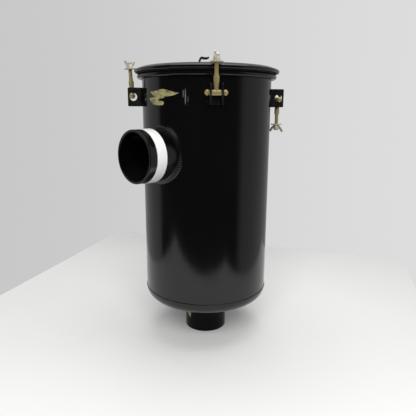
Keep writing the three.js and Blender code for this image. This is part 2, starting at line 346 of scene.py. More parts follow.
def rod_along(points, radius_at, sides=12):
    """A round bar along a list of points, closed to a tip at both ends."""
    path = [Vector(point) for point in points]
    outline = Skin()
    rows = len(path) - 2
    upright = abs((path[-1] - path[0]).normalized().z) >= 0.9
    side = Vector((1, 0, 0)) if upright else Vector((0, 0, 1))
    for i in range(1, len(path) - 1):
        along = (path[i + 1] - path[i - 1]).normalized()
        first = along.cross(side).normalized()
        second = along.cross(first)
        for j in range(sides):
            angle = TURN * j / sides
            spread = first * math.cos(angle) + second * math.sin(angle)
            outline.points.append(path[i] + spread * radius_at(i / (len(path) - 1)))
    for i in range(rows - 1):
        for j in range(sides):
            k = (j + 1) % sides
            outline.faces.append((i * sides + j, i * sides + k, (i + 1) * sides + k,
                                  (i + 1) * sides + j))
    return outline.close_ends(sides, ((0, path[0]), (rows - 1, path[-1])))


def as_object(name, skin):
    mesh = bpy.data.meshes.new(name)
    mesh.from_pydata([tuple(point) for point in skin.points], [], skin.faces)
    shape = bmesh.new()
    shape.from_mesh(mesh)
    bmesh.ops.remove_doubles(shape, verts=shape.verts, dist=1e-7)
    bmesh.ops.recalc_face_normals(shape, faces=shape.faces)
    shape.to_mesh(mesh)
    shape.free()
    made = bpy.data.objects.new(name, mesh)
    bpy.context.scene.collection.objects.link(made)
    return made


def settle(obj):
    """Applies the object's modifiers to its mesh."""
    evaluated = obj.evaluated_get(bpy.context.evaluated_depsgraph_get())
    mesh = bpy.data.meshes.new_from_object(evaluated)
    obj.modifiers.clear()
    obj.data = mesh
    return obj


def shaped(obj, kind, **settings):
    """Adds one modifier with its settings and applies it."""
    modifier = obj.modifiers.new(kind.title(), kind)
    for key, value in settings.items():
        setattr(modifier, key, value)
    return settle(obj)


def cut(obj, skin, operation="DIFFERENCE"):
    """Cuts, joins or trims the object with another closed body."""
    tool = as_object("tool", skin)
    shaped(obj, "BOOLEAN", operation=operation, object=tool, solver="EXACT")
    bpy.data.objects.remove(tool)
    return obj


def smooth(obj, sharp_degrees=35):
    obj.data.shade_smooth()
    obj.data.set_sharp_from_angle(angle=math.radians(sharp_degrees))
    return obj


def finish_piece(obj, material, slot, body, *nodes, sharp=35):
    """Gives a piece its material, and puts it on its body in place of CAD nodes. The slot is not
    used.
    """
    smooth(obj, sharp)
    obj.data.materials.clear()
    obj.data.materials.append(material)
    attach(obj, body)
    if nodes:
        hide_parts(*nodes)
    return obj


def melted(obj, voxel, passes):
    """Joins overlapping bodies into one skin with soft inner corners, as a forging has."""
    shaped(obj, "REMESH", mode="VOXEL", voxel_size=voxel, adaptivity=0.0)
    shaped(obj, "SMOOTH", factor=0.5, iterations=passes)
    return obj


# ---- Materials -------------------------------------------------------------------------------

class Finish:
    """One procedural material, with short ways to add its nodes."""

    def __init__(self, name):
        self.material = bpy.data.materials.new(name)
        self.material.use_nodes = True
        self.tree = self.material.node_tree
        self.shader = self.tree.nodes["Principled BSDF"]
        self.place = self.node("ShaderNodeTexCoord").outputs["Object"]

    def node(self, kind, inputs=None, **settings):
        made = self.tree.nodes.new(kind)
        for key, value in settings.items():
            setattr(made, key, value)
        for key, value in (inputs or {}).items():
            self.feed(made.inputs[key], value)
        return made

    def feed(self, socket, value):
        if isinstance(value, bpy.types.NodeSocket):
            self.tree.links.new(value, socket)
        else:
            socket.default_value = value

    def set(self, **values):
        names = {"colour": "Base Color", "metallic": "Metallic", "roughness": "Roughness",
                 "ior": "IOR", "normal": "Normal"}
        for key, value in values.items():
            self.feed(self.shader.inputs[names[key]], value)

    def cloud(self, scale, detail=3.0, roughness=0.5, stretch=(1, 1, 1), place=None):
        """Soft noise. Scale is per metre, and stretch draws the noise out along an axis."""
        at = self.node("ShaderNodeMapping", {"Vector": place or self.place, "Scale": stretch})
        return self.node("ShaderNodeTexNoise", {
            "Vector": at.outputs["Vector"], "Scale": scale, "Detail": detail,
            "Roughness": roughness}).outputs["Fac"]

    def ramp(self, value, low, high, to_low=0.0, to_high=1.0):
        """Maps low..high of a value onto to_low..to_high, and holds it there outside."""
        return self.node("ShaderNodeMapRange", {
            "Value": value, "From Min": low, "From Max": high, "To Min": to_low,
            "To Max": to_high}, interpolation_type="SMOOTHSTEP").outputs["Result"]

    def maths(self, operation, *values):
        made = self.node("ShaderNodeMath", operation=operation)
        for socket, value in zip(made.inputs, values):
            self.feed(socket, value)
        return made.outputs["Value"]

    def mix(self, share_of_second, first, second):
        """Two colours mixed. Colours are (r, g, b) or sockets."""
        made = self.node("ShaderNodeMix", {"Factor": share_of_second}, data_type="RGBA")
        for name, value in (("A", first), ("B", second)):
            socket = next(s for s in made.inputs if s.name == name and s.type == "RGBA")
            self.feed(socket, value if isinstance(value, bpy.types.NodeSocket) else (*value, 1))
        return next(s for s in made.outputs if s.type == "RGBA")

    def bump(self, height, distance, strength=1.0, under=None):
        inputs = {"Height": height, "Distance": distance, "Strength": strength}
        if under is not None:
            inputs["Normal"] = under
        return self.node("ShaderNodeBump", inputs).outputs["Normal"]

    def axis_part(self, name, place=None):
        parts = self.node("ShaderNodeSeparateXYZ", {"Vector": place or self.place})
        return parts.outputs[name]

    def bearing(self):
        """The angle round the can's axis, in radians from +X."""
        back = self.maths("SUBTRACT", self.axis_part("Y"), AXIS.y)
        return self.maths("ARCTAN2", back, self.axis_part("X"))


def tone_of(name):
    """One of the finish colours that a user may change."""
    return tuple(getattr(bpy.context.scene.dustcan_finishes, name))


def tinted(colour, amount):
    return tuple(min(1.0, part * amount) for part in colour)


def stroke_mask(paint, bearing_degrees, height, width, tall):
    """Where one upright scuff is: 1 along its middle, fading to 0 at its edges."""
    off = paint.maths("SUBTRACT", paint.bearing(), math.radians(bearing_degrees))
    arc_off = paint.maths("ABSOLUTE", paint.maths("MULTIPLY", off, CAN_RADIUS))
    across = paint.ramp(arc_off, 0, width, 1, 0)
    up = paint.maths("ABSOLUTE", paint.maths("SUBTRACT", paint.axis_part("Z"), height))
    along = paint.ramp(up, tall * 0.55, tall, 1, 0)
    return paint.maths("MULTIPLY", across, along)


def gloss_black(name="Gloss black paint", scuffed=False, ior=1.5):
    """Sprayed gloss enamel: orange peel, smears of handling, settled dust and a few scuffs."""
    tones = bpy.context.scene.dustcan_finishes
    paint = Finish(name)
    colour = tone_of("paint")
    smear = paint.ramp(paint.cloud(14, 4, 0.6, (1, 1, 0.35)), 0.45, 0.75)
    speck = paint.ramp(paint.cloud(2600, 1, 0.4), 0.72, 0.78)
    up = paint.axis_part("Z", paint.node("ShaderNodeNewGeometry").outputs["Normal"])
    dust = paint.maths("MULTIPLY", paint.ramp(up, 0.3, 0.95),
                       paint.ramp(paint.cloud(60, 6, 0.7), 0.35, 0.8, 0.15, 0.6))
    look = paint.mix(paint.maths("MULTIPLY", smear, 0.3), colour, tinted(colour, 2.2))
    look = paint.mix(paint.maths("MULTIPLY", speck, 0.35), look, tinted(colour, 14))
    look = paint.mix(paint.maths("MULTIPLY", dust, 0.16), look, (0.05, 0.048, 0.044))
    rough = paint.maths("ADD", paint.ramp(smear, 0, 1, tones.paint_roughness,
                                          tones.paint_roughness + 0.07),
                        paint.maths("MULTIPLY", dust, 0.12))
    if scuffed:
        broken = paint.ramp(paint.cloud(420, 3, 0.6, (1, 1, 0.12)), 0.42, 0.6)
        strokes = None
        for bearing, height, width, tall in SCUFFS:
            mask = stroke_mask(paint, bearing, height, width, tall)
            strokes = mask if strokes is None else paint.maths("MAXIMUM", strokes, mask)
        strokes = paint.maths("MULTIPLY", strokes, broken)
        look = paint.mix(paint.maths("MULTIPLY", strokes, 0.85), look, (0.20, 0.20, 0.205))
        rough = paint.maths("ADD", rough, paint.maths("MULTIPLY", strokes, 0.3))
    peel = paint.bump(paint.cloud(330, 2, 0.5), 0.00006, 0.35)
    waves = paint.bump(paint.cloud(22, 2, 0.5), 0.0006, 0.12, peel)
    paint.set(colour=look, roughness=rough, normal=waves, ior=ior)
    return paint.material


# Scuffs on the can: bearing from +X in degrees, height, half width and half height.
SCUFFS = (
    (-62.6, 496 * MM, 1.6 * MM, 16 * MM),
    (-60.4, 488 * MM, 1.0 * MM, 11 * MM),
    (-64.4, 503 * MM, 1.1 * MM, 9 * MM),
)


def bracket_black():
    """Thin semi-gloss paint on hot-rolled strip, rubbed through in small spots."""
    paint = Finish("Bracket black paint")
    colour = tone_of("bracket")
    rub = paint.ramp(paint.cloud(900, 4, 0.65), 0.63, 0.7)
    tone = paint.ramp(paint.cloud(120, 3), 0.3, 0.7)
    look = paint.mix(tone, colour, tinted(colour, 2))
    look = paint.mix(paint.maths("MULTIPLY", rub, 0.5), look, (0.06, 0.045, 0.03))
    grain = paint.bump(paint.cloud(1400, 3, 0.6), 0.00012, 0.4)
    paint.set(colour=look, roughness=paint.ramp(tone, 0, 1, 0.34, 0.5), normal=grain, ior=1.25)
    return paint.material


def band_white():
    """Smooth pale tape: faint streaks along its length and grey handling marks."""
    tape = Finish("White band")
    colour = tone_of("band")
    streak = tape.ramp(tape.cloud(700, 3, 0.5, (0.08, 1, 0.08)), 0.35, 0.75)
    grime = tape.ramp(tape.cloud(38, 5, 0.65), 0.55, 0.85)
    look = tape.mix(tape.maths("MULTIPLY", streak, 0.35), colour, tinted(colour, 0.86))
    look = tape.mix(tape.maths("MULTIPLY", grime, 0.3), look, (0.55, 0.54, 0.5))
    skin = tape.bump(tape.cloud(500, 3, 0.5, (0.2, 1, 0.2)), 0.0001, 0.4)
    tape.set(colour=look, roughness=tape.ramp(grime, 0, 1, 0.34, 0.55), normal=skin)
    return tape.material


def zinc(name, colour, stain, shift):
    """Passivated zinc plate: patches of tint, a brushed grain and dull spots."""
    plate_metal = Finish(name)
    patch = plate_metal.ramp(plate_metal.cloud(150, 4, 0.6), 0.35, 0.7)
    fine = plate_metal.ramp(plate_metal.cloud(900, 4, 0.6), 0.4, 0.75)
    look = plate_metal.mix(plate_metal.maths("MULTIPLY", patch, 0.6), colour, shift)
    look = plate_metal.mix(plate_metal.maths("MULTIPLY", fine, 0.35), look, stain)
    rough = plate_metal.ramp(plate_metal.cloud(400, 3), 0.3, 0.8, 0.40, 0.58)
    grain = plate_metal.bump(plate_metal.cloud(1800, 2), 0.00005, 0.5)
    plate_metal.set(colour=look, roughness=rough, normal=grain, metallic=0.72)
    return plate_metal.material


def gold_zinc():
    return zinc("Yellow zinc plate", tone_of("gold"), (0.30, 0.20, 0.07), (0.56, 0.50, 0.24))


def pale_zinc():
    return zinc("Pale zinc plate", tone_of("pale"), (0.42, 0.38, 0.24), (0.78, 0.78, 0.70))


def sponge_rubber():
    """Closed-cell sponge rubber with fine pores."""
    rubber = Finish("Sponge rubber")
    colour = tone_of("rubber")
    pores = rubber.node("ShaderNodeTexVoronoi", {"Vector": rubber.place, "Scale": 1400.0})
    pore = rubber.ramp(pores.outputs["Distance"], 0.0, 0.5)
    tone = rubber.ramp(rubber.cloud(70, 4), 0.3, 0.8)
    look = rubber.mix(tone, colour, tinted(colour, 2.4))
    rubber.set(colour=look, roughness=rubber.ramp(tone, 0, 1, 0.75, 0.92),
               normal=rubber.bump(pore, 0.0002, 0.5))
    return rubber.material


def filter_paper():
    """Resin-treated filter paper: felted fibres, browner where the dust settles."""
    paper = Finish("Filter paper")
    colour = tone_of("paper")
    fibre = paper.ramp(paper.cloud(1500, 5, 0.7), 0.35, 0.7)
    dirt = paper.ramp(paper.cloud(18, 4, 0.6), 0.4, 0.75)
    look = paper.mix(paper.maths("MULTIPLY", fibre, 0.4), colour, tinted(colour, 0.78))
    look = paper.mix(paper.maths("MULTIPLY", dirt, 0.5), look, (0.30, 0.22, 0.13))
    paper.set(colour=look, roughness=paper.ramp(fibre, 0, 1, 0.85, 0.95),
              normal=paper.bump(fibre, 0.0001, 0.5))
    return paper.material


def galvanised():
    """Galvanised sheet with its crystal spangle."""
    metal = Finish("Galvanised sheet")
    colour = tone_of("galvanised")
    spangle = metal.node("ShaderNodeTexVoronoi", {"Vector": metal.place, "Scale": 170.0})
    tone = metal.axis_part("X", spangle.outputs["Color"])
    look = metal.mix(tone, colour, tinted(colour, 0.72))
    metal.set(colour=look, roughness=metal.ramp(tone, 0, 1, 0.3, 0.5), metallic=1.0,
              normal=metal.bump(metal.cloud(300, 3), 0.0001, 0.3))
    return metal.material


def torn_label():
    """Old label paper: olive-yellow stock, mottled, darker along its torn fibres."""
    paper = Finish("Torn label paper")
    colour = tone_of("label")
    mottle = paper.ramp(paper.cloud(230, 4, 0.65), 0.35, 0.62)
    fibre = paper.ramp(paper.cloud(1100, 4, 0.7), 0.45, 0.7)
    streak = paper.ramp(paper.cloud(260, 3, 0.6, (0.35, 0.35, 1.5)), 0.55, 0.62)
    look = paper.mix(paper.maths("MULTIPLY", mottle, 0.6), colour, (0.20, 0.19, 0.09))
    look = paper.mix(paper.maths("MULTIPLY", streak, 0.85), look, (0.02, 0.02, 0.014))
    look = paper.mix(paper.maths("MULTIPLY", fibre, 0.3), look, (0.07, 0.065, 0.035))
    paper.set(colour=look, roughness=paper.ramp(fibre, 0, 1, 0.6, 0.85),
              normal=paper.bump(fibre, 0.00012, 0.6))
    return paper.material


MAKERS = {
    "gloss": gloss_black,
    "scuffed": lambda: gloss_black("Scuffed gloss black paint", scuffed=True),
    "thin": lambda: gloss_black("Thin black paint", ior=1.2),
    "bracket": bracket_black,
    "band": band_white,
    "gold": gold_zinc,
    "pale": pale_zinc,
    "rubber": sponge_rubber,
    "paper": filter_paper,
    "galvanised": galvanised,
    "label": torn_label,
}
MADE = {}


def material(key):
    """The finish of that key, made once."""
    if key not in MADE:
        MADE[key] = MAKERS[key]()
    return MADE[key]


# ---- The can ---------------------------------------------------------------------------------

def shell_skin(sizes):
    inner = CAN_RADIUS - sizes.sheet
    outline = [(inner, SHELL_LOW.z), (CAN_RADIUS, SHELL_LOW.z)]
    steps = 36
    rise = (SHELL_HIGH.z - SHELL_LOW.z) / steps
    outline += [(CAN_RADIUS, SHELL_LOW.z + rise * i) for i in range(1, steps + 1)]
    outline += [(inner, SHELL_HIGH.z - rise * i) for i in range(steps)]
    return turned(outline, sizes.sides)


def round_normals(obj):
    """Makes the shell's walls shade as one true cylinder round its cut-out."""
    mesh = obj.data
    normals = []
    for polygon in mesh.polygons:
        for index in polygon.vertices:
            offset = mesh.vertices[index].co - AXIS
            radial = Vector((offset.x, offset.y, 0)).normalized()
            facing = polygon.normal.dot(radial)
            if abs(facing) > 0.9:
                normals.append(radial if facing > 0 else -radial)
            else:
                normals.append(polygon.normal.copy())
    mesh.normals_split_custom_set(normals)


def build_can_shell(sizes):
    shell = as_object("shell_skin", shell_skin(sizes).on_axis())
    hole = turned([(0, 0.06), (INLET_RADIUS + 0.3 * MM, 0.06), (INLET_RADIUS + 0.3 * MM, 0.2),
                   (0, 0.2)], 96, ends_on_axis=True)
    lying = Matrix.Translation(AXIS + Vector((0, 0, INLET_Z))) @ Matrix.Rotation(
        math.pi / 2, 4, "X")
    cut(shell, hole.moved(lying))
    shell.name = "can_wall"
    finish_piece(shell, material("scuffed"), "black_paint", "can", "can_shell")
    round_normals(shell)


def build_flange(sizes):
    """The can's mouth: the wall turned out flat and rolled under into a bead."""
    mid = sizes.sheet / 2
    roll = (BEAD_HIGH.z - BEAD_LOW.z) / 2
    centre = (BEAD_HIGH.x - roll, BEAD_LOW.z + roll)
    inner = CAN_RADIUS - mid
    curl_top = (centre[0], centre[1] + roll - mid)
    corner = filleted([(inner, SHELL_HIGH.z + 0.3 * MM), (inner, BEAD_HIGH.z - mid), curl_top],
                      2.2 * MM, 6)
    curl = arc(centre, roll - mid, 90, -200, 26)
    outline = sheet_loop(corner[:-1] + curl, sizes.sheet)
    bead = as_object("rolled_flange", turned(outline, sizes.sides).on_axis())
    finish_piece(bead, material("gloss"), "black_paint", "can", "flange_bead")


def build_can_bottom(sizes):
    mid = sizes.sheet / 2
    corner = BOTTOM_HIGH.z - BOTTOM_LOW.z - 2 * MM
    centre = (CAN_RADIUS - corner, BOTTOM_LOW.z + corner)
    path = [(CAN_RADIUS - mid, BOTTOM_HIGH.z)] + arc(centre, corner - mid, 0, -90, 18)
    flat_from = centre[0]
    flat_to = OUTLET_RADIUS + 0.3 * MM
    path += [(flat_from + (flat_to - flat_from) * i / 10, BOTTOM_LOW.z + mid)
             for i in range(1, 11)]
    dish = as_object("dished_bottom", turned(sheet_loop(path, sizes.sheet), sizes.sides).on_axis())
    finish_piece(dish, material("gloss"), "black_paint", "can", "can_bottom")


def build_seam_weld(_sizes):
    """The low, even bead where the wall meets the dished bottom."""
    low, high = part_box("bottom_seam_weld")
    foot = CAN_RADIUS + 0.1 * MM
    height = high.x - foot
    half = (high.z - low.z) / 2
    middle = (high.z + low.z) / 2
    section = [(math.sin(math.pi * i / 8), -math.cos(math.pi * i / 8)) for i in range(9)]
    sides = 720

    def point(i, j):
        angle = TURN * i / sides
        ripple = 0.86 + 0.1 * math.sin(angle * 240) + 0.04 * math.sin(angle * 37)
        radius = foot + height * section[j][0] * ripple
        return Vector((radius * math.cos(angle), radius * math.sin(angle),
                       middle + half * section[j][1]))

    weld = as_object("seam_weld", grid(sides, len(section), point).on_axis())
    finish_piece(weld, material("gloss"), "black_paint", "can", "bottom_seam_weld", sharp=60)


# ---- Pipes -----------------------------------------------------------------------------------

def build_outlet_pipe(sizes):
    inner = OUTLET_RADIUS - sizes.outlet_wall
    outline = filleted([(inner, OUTLET_LOW.z), (OUTLET_RADIUS, OUTLET_LOW.z),
                        (OUTLET_RADIUS, OUTLET_HIGH.z), (inner, OUTLET_HIGH.z)],
                       0.8 * MM, 4, closed=True)
    pipe = as_object("outlet_tube", turned(outline, 160).on_axis())
    finish_piece(pipe, material("thin"), "black_paint", "can", "outlet_pipe")


def build_inlet_pipe(sizes):
    """A short tube with its mouth rolled inwards, and its root cut to the can's inside."""
    outer = INLET_RADIUS
    inner = outer - sizes.inlet_wall
    mouth = outer - sizes.lip
    lip_back = INLET_REACH - 5 * MM
    outline = [(inner, None), (outer, None)]
    outline += filleted([(outer, INLET_REACH - 9 * MM), (outer, INLET_REACH),
                         (mouth, INLET_REACH), (mouth, lip_back), (inner, lip_back - 1.4 * MM),
                         (inner, lip_back - 6 * MM)], 1.3 * MM, 6)
    sides = 192
    inside = CAN_RADIUS - sizes.sheet + 0.2 * MM

    def point(i, j):
        angle = TURN * i / sides
        radius, reach = outline[j]
        across = radius * math.cos(angle)
        if reach is None:
            reach = math.sqrt(inside ** 2 - across ** 2)
        return AXIS + Vector((across, -reach, INLET_Z + radius * math.sin(angle)))

    pipe = as_object("inlet_tube", grid(sides, len(outline), point))
    finish_piece(pipe, material("gloss"), "black_paint", "can", "inlet_pipe")


def fillet_weld(name, sizes, foot_radius, leg, place, node):
    """A rippled bead round a pipe. place(out, up, angle) puts a point of its section."""
    across = 10
    count = int(TURN * foot_radius / sizes.ripple)
    sides = count * 8
    section = arc((0, 0), 1, 0, 90, across) + [(0, 0.3), (0, 0), (0.3, 0)]

    def point(i, j):
        angle = TURN * i / sides
        out, up = section[j]
        if j <= across:
            swing = math.pi * j / (2 * across)
            straight = 1 / (math.cos(swing) + math.sin(swing))
            bulge = straight + (1 - straight) * 0.35
            wave = math.sin(count * angle + 1.6 * math.sin(2 * swing))
            wander = noise.noise(Vector((out, up * 2, angle * 6)))
            bulge += (wave * sizes.ripple_height + wander * 0.3 * MM) / leg * math.sin(2 * swing)
            out, up = out * bulge, up * bulge
        return place(out * leg, up * leg, angle)

    weld = as_object(name, grid(sides, len(section), point))
    finish_piece(weld, material("gloss"), "black_paint", "can", node, sharp=70)


def build_inlet_weld(sizes):
    foot = INLET_RADIUS + 0.15 * MM

    def place(out, up, angle):
        across = (foot + out) * math.cos(angle)
        stand_off = math.sqrt((CAN_RADIUS + 0.15 * MM) ** 2 - across ** 2)
        return AXIS + Vector((across, -stand_off - up, INLET_Z + (foot + out) * math.sin(angle)))

    fillet_weld("inlet_fillet_weld", sizes, foot, sizes.weld, place, "inlet_weld")


def build_outlet_weld(sizes):
    foot = OUTLET_RADIUS + 0.15 * MM
    ceiling = BOTTOM_LOW.z - 0.15 * MM

    def place(out, up, angle):
        radius = foot + out
        return AXIS + Vector((radius * math.cos(angle), radius * math.sin(angle), ceiling - up))

    fillet_weld("outlet_fillet_weld", sizes, foot, 4.6 * MM, place, "outlet_weld")


def build_band(_sizes):
    """One and a bit turns of pale tape, with the step where its end laps over."""
    inner = INLET_RADIUS + 0.12 * MM
    outer = BAND_HIGH.x
    near = AXIS.y - BAND_HIGH.y
    far = AXIS.y - BAND_LOW.y
    section = filleted([(0, near), (1, near), (1, far), (0, far)], 0.35 * MM, 3, closed=True)
    sides = 360

    def point(i, j):
        angle = TURN * i / sides
        layer, reach = section[j]
        lap = 1.0 if i < sides * 0.06 else 0.62
        wrinkle = noise.noise(Vector((math.cos(angle) * 9, math.sin(angle) * 9, reach * 90)))
        thickness = (outer - inner) * (lap + 0.12 * wrinkle * layer) * 0.9
        edge_wander = 0.25 * MM * noise.noise(Vector((math.cos(angle) * 4, 5, reach * 40)))
        radius = inner + thickness * layer
        turn = angle - 2.2
        return AXIS + Vector((radius * math.cos(turn), -reach - edge_wander * layer,
                              INLET_Z + radius * math.sin(turn)))

    band = as_object("inlet_tape", grid(sides, len(section), point))
    finish_piece(band, material("band"), "band_white", "can", "inlet_band", sharp=50)


# ---- Brackets, bolts, washers and nuts -------------------------------------------------------

def bracket_holes(station):
    """Where the ear holes are, from the edge of the hole in the CAD ears."""
    low_x = CAN_RADIUS + 10 * MM
    points = [p for p in node_points(f"{station}_bracket", bracket_frame(station))
              if p.x > low_x and abs(p.y) > 8 * MM]
    tall = max(p.z for p in points)
    low = min(p.z for p in points)
    ring = [p for p in points if low + MM < p.z < tall - MM and p.x < max(
        q.x for q in points) - MM]
    left, right = min(p.x for p in ring), max(p.x for p in ring)
    under, over = min(p.z for p in ring), max(p.z for p in ring)
    return (left + right) / 2, (under + over) / 2, (over - under) / 2


def build_bracket(station, sizes):
    """Strip steel bent to a channel, with a loose hole through both ears."""
    place = bracket_frame(station)
    near, far = node_reach(f"{station}_bracket", place)
    half = far.y
    back, front = near.x, far.x
    low, high = near.z, far.z
    mid = sizes.strap / 2
    path = filleted([(front, half - mid), (back + mid, half - mid), (back + mid, mid - half),
                     (front, mid - half)], 3.2 * MM, 7)
    channel = as_object("channel", prism(sheet_loop(path, sizes.strap), low, high))
    frame_outline = filleted([(back - 5 * MM, low), (front, low), (front, high),
                              (back - 5 * MM, high)], 1.6 * MM, 5, closed=True)
    cut(channel, plate(frame_outline, 4 * half), "INTERSECT")
    hole_x, hole_z, hole_radius = bracket_holes(station)
    hole = plate([(hole_x + hole_radius * math.cos(TURN * i / 48),
                   hole_z + hole_radius * math.sin(TURN * i / 48)) for i in range(48)], 4 * half)
    cut(channel, hole)
    shaped(channel, "BEVEL", width=0.35 * MM, segments=2, limit_method="ANGLE",
           angle_limit=math.radians(50))
    channel.data.transform(place)
    channel.name = f"{station}_channel"
    finish_piece(channel, material("bracket"), "bracket_paint", "can", f"{station}_bracket",
                 sharp=30)
    build_bracket_welds(station, place, half, low, high)


def build_bracket_welds(station, place, half, low, high):
    """An upright bead along each back edge of the channel."""
    beads = Skin()
    for side in (-1, 1):
        steps = 40
        foot = half + 0.9 * MM
        start = math.sqrt(CAN_RADIUS ** 2 - foot ** 2) + 0.9 * MM
        path = [(start, side * foot, low + 3 * MM + (high - low - 6 * MM) * i / steps)
                for i in range(steps + 1)]

        def radius(share_along):
            ends = min(1, 8 * share_along, 8 * (1 - share_along))
            return (1.7 + 0.22 * math.sin(share_along * 62)) * MM * math.sqrt(ends)

        beads.add(rod_along(path, radius, 14))
    weld = as_object(f"{station}_bracket_weld", beads.moved(place))
    finish_piece(weld, material("gloss"), "black_paint", "can", sharp=70)


def head_skin(half_length):
    """The bolt's T-head: a round cross bar with ball ends and a tapered socket for the rod."""
    ball = 5.2 * MM
    neck = 4.0 * MM
    barrel = 5.1 * MM
    shoulder = 8.4 * MM
    centre = half_length - ball
    start = math.degrees(math.asin(-0.72))
    side = [(barrel, 0), (barrel, shoulder - 0.8 * MM), (barrel - 0.5 * MM, shoulder),
            (neck, shoulder + 0.5 * MM)]
    side += arc((0, centre), ball, start, 90, 12)
    side[-1] = (0, half_length)
    outline = [(r, -z) for r, z in reversed(side[1:])] + side[1:]
    bar = turned(outline, 40, ends_on_axis=True).moved(Matrix.Rotation(-math.pi / 2, 4, "X"))
    socket = turned([(0, 0), (3.6 * MM, 0), (3.9 * MM, 6 * MM), (4.4 * MM, 11 * MM),
                     (5.0 * MM, 22 * MM), (5.2 * MM, 26.4 * MM), (5.1 * MM, 27.6 * MM),
                     (4.5 * MM, 28.7 * MM), (0, 28.9 * MM)], 40, ends_on_axis=True)
    return Skin().add(bar).add(socket)


def thread_skin(sizes, start, tip):
    """The rod, with its thread cut as a true helix up to a chamfered tip."""
    sides = 32
    per_turn = 8
    rows = int((tip - start) / sizes.thread_pitch * per_turn)
    plain = start + 5 * MM
    chamfer = 1.1 * MM

    def point(i, j):
        angle = TURN * j / sides
        height = start + (tip - start) * i / (rows - 1)
        phase = (height / sizes.thread_pitch - j / sides) % 1
        groove = min(1, max(0, 1.25 - abs(phase - 0.5) * 2.9))
        fade = min(1, max(0, (height - plain) / (2 * MM)))
        radius = sizes.rod - 0.05 * MM - sizes.thread_depth * groove * fade
        radius -= max(0, height - (tip - chamfer)) * 0.9
        return Vector((radius * math.cos(angle), radius * math.sin(angle), height))

    skin = grid(rows, sides, point, wrap_rows=False)
    return skin.close_ends(sides, ((0, (0, 0, start)), (rows - 1, (0, 0, tip))))


def build_swing_bolt(station, sizes):
    place = station_frame(station)
    _, far = node_reach(f"{station}_swing_bolt", place)
    head = as_object("t_head", head_skin(far.y))
    melted(head, 0.42 * MM, 5)
    head.data.transform(place)
    head.name = f"{station}_t_head"
    body = f"{station}_bolt"
    finish_piece(head, material("gold"), "gold_zinc", body, f"{station}_swing_bolt", sharp=80)
    rod = as_object(f"{station}_threaded_rod", thread_skin(sizes, 27 * MM, far.z).moved(place))
    finish_piece(rod, material("gold"), "gold_zinc", body, f"{station}_swing_bolt", sharp=50)


def build_washer(station, _sizes):
    place = station_frame(station)
    inner, outer = node_radii(f"{station}_washer", place)
    low, high = node_reach(f"{station}_washer", place)
    section = filleted([(inner, low.z), (outer, low.z), (outer, high.z), (inner, high.z)],
                       0.45 * MM, 4, closed=True)
    washer = as_object(f"{station}_flat_washer", turned(section, 72).moved(place))
    finish_piece(washer, material("pale"), "pale_zinc", f"{station}_washer", f"{station}_washer",
                 sharp=50)


def wing_outline(side):
    """One wing in the nut's plane, rising and flaring out to a rounded tip."""
    points = [(4.5, 1.4), (7.2, 1.6), (11.2, 4.6), (15.6, 10.2), (15.7, 13.6), (13.4, 14.9),
              (11.4, 13.4), (8.6, 8.9), (6.2, 7.6), (4.5, 7.8)]
    rounded = filleted([(x * MM, z * MM) for x, z in points], 1.6 * MM, 5, closed=True)
    return [(side * x, z) for x, z in rounded]


def wing_nut_skin(bore):
    hub = turned(filleted([(bore, 0), (6.9 * MM, 0), (6.9 * MM, 2.2 * MM), (5.1 * MM, 7 * MM),
                           (4.95 * MM, 11 * MM), (bore, 11 * MM)], 0.7 * MM, 4, closed=True), 48)
    skin = Skin().add(hub)
    for side in (-1, 1):
        skin.add(plate(wing_outline(side), 2.5 * MM))
    return skin


def build_wing_nut(station, sizes):
    place = station_frame(station)
    points = node_points(f"{station}_wing_nut", place)
    low = min(p.z for p in points)
    tip = max(points, key=lambda p: math.hypot(p.x, p.y))
    turn = Matrix.Rotation(math.atan2(tip.y, tip.x), 4, "Z")
    nut = as_object("nut", wing_nut_skin(sizes.rod + 0.12 * MM))
    melted(nut, 0.33 * MM, 4)
    nut.data.transform(place @ Matrix.Translation((0, 0, low)) @ turn)
    nut.name = f"{station}_forged_wing_nut"
    finish_piece(nut, material("pale"), "pale_zinc", f"{station}_nut", f"{station}_wing_nut",
                 sharp=80)


# ---- Lid -------------------------------------------------------------------------------------

def build_lid_pan(sizes):
    """A dished pan with one stamped groove, whose rim slopes down and out into a rolled edge."""
    mid = sizes.sheet / 2
    floor_z = LID_PANEL_Z - mid
    top = LID_HIGH.z - mid
    roll = 3.5 * MM
    centre = (LID_HIGH.x - roll, LID_HIGH.z - 7.4 * MM)
    groove = 1.1 * MM
    path = [(0, floor_z), (40 * MM, floor_z), (70 * MM, floor_z), (97 * MM, floor_z),
            (101 * MM, floor_z - groove), (106 * MM, floor_z - groove), (110 * MM, floor_z),
            (122.9 * MM, floor_z), (128 * MM, top - 0.4 * MM), (131 * MM, top),
            (centre[0], top - 3.7 * MM)]
    rim = arc(centre, roll - mid, 70, -60, 16)
    path = filleted(path, 2.4 * MM, 6)[:-1] + rim
    loop = sheet_loop(path, sizes.sheet)
    half = len(loop) // 2
    outline = [(0, loop[0][1])] + loop[1:half] + loop[half:-1] + [(0, loop[-1][1])]
    pan = as_object("lid_pan", turned(outline, sizes.sides, ends_on_axis=True).on_axis())
    finish_piece(pan, material("gloss"), "black_paint", "lid", "lid")


def build_lid_gasket(_sizes):
    inner, _ = node_radii("lid_gasket")
    outer = GASKET_HIGH.x
    section = filleted([(inner, GASKET_LOW.z), (outer, GASKET_LOW.z), (outer, GASKET_HIGH.z),
                        (inner, GASKET_HIGH.z)], 1.6 * MM, 5, closed=True)
    ring = as_object("lid_seal", turned(section, 200).on_axis())
    finish_piece(ring, material("rubber"), "black_rubber", "lid", "lid_gasket")


